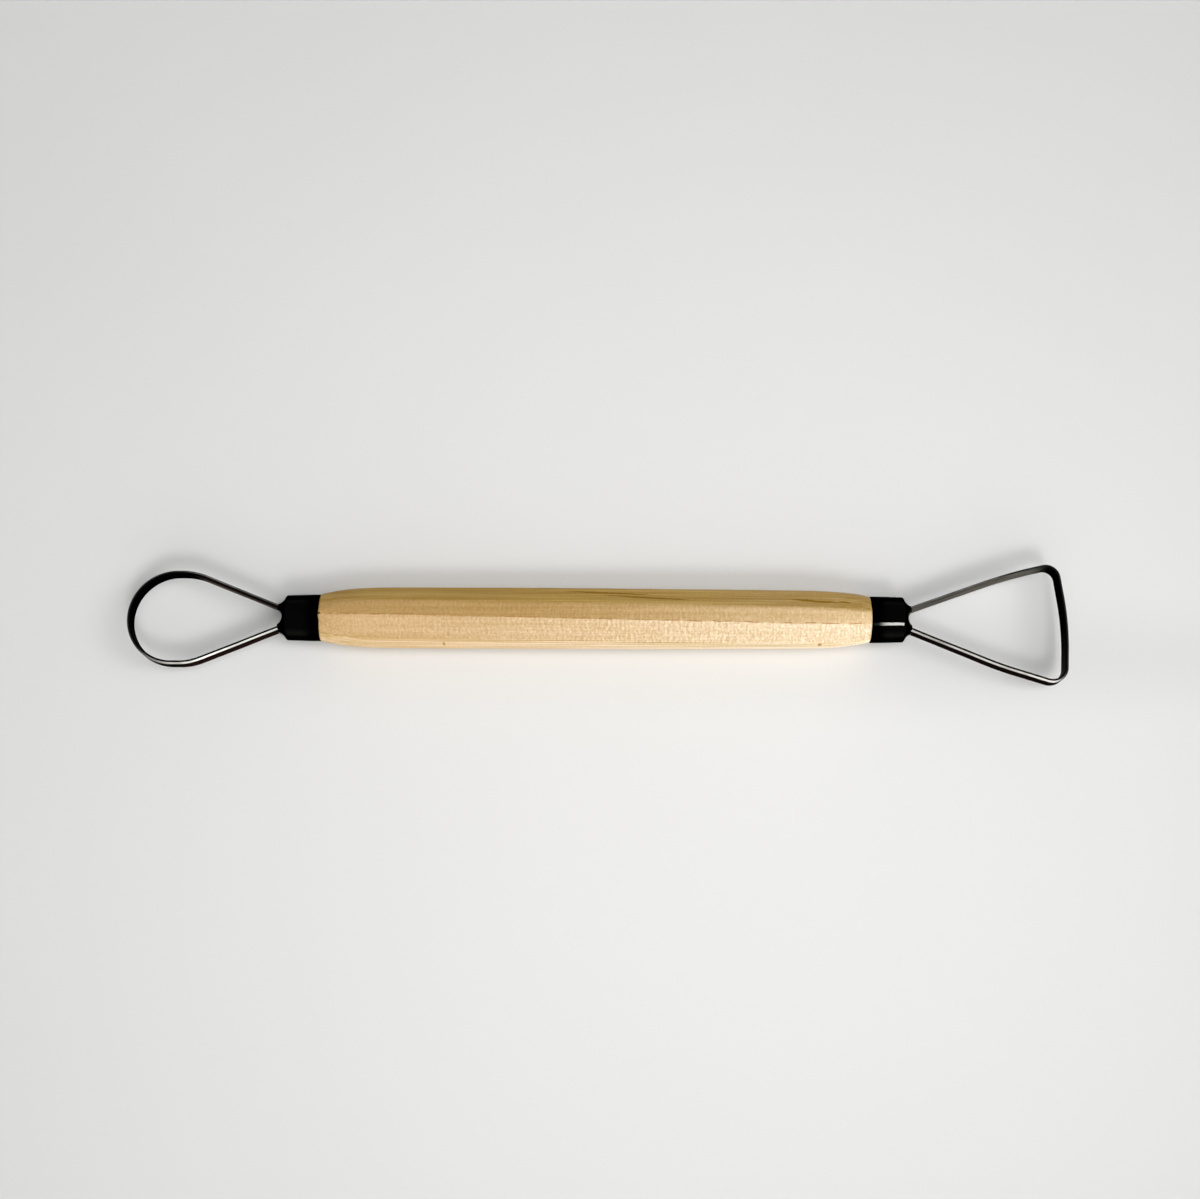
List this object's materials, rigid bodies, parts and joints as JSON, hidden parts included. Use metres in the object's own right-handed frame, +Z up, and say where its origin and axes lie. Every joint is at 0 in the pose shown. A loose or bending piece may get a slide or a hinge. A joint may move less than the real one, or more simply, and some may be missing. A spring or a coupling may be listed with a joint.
{
  "type": "pottery ribbon tool",
  "caption": "Double-ended clay trimming tool: a faceted wooden handle with a rounded steel ribbon loop at one end and a triangular one at the other.",
  "frame": {"origin": "middle of the flat planed on the underside of the handle, on which the tool lies", "axes": "+X along the tool from the round loop to the triangular loop, +Z up and square to both loops"},
  "size_m": [0.2033, 0.0259, 0.0129],
  "materials": {
    "wood": "pale hardwood, hand-shaved facets, satin oil finish",
    "ribbon_steel": "dark oil-hardened spring steel with ground edges",
    "black_sleeve": "glossy black shrunk sleeve",
    "amber_glue": "set amber epoxy"
  },
  "bodies": {
    "root": {"handle": "wood", "round_blade": "ribbon_steel", "round_end_sleeve": "black_sleeve", "round_end_glue": "amber_glue", "triangle_blade": "ribbon_steel", "triangle_end_sleeve": "black_sleeve", "triangle_end_glue": "amber_glue"}
  },
  "joints": []
}
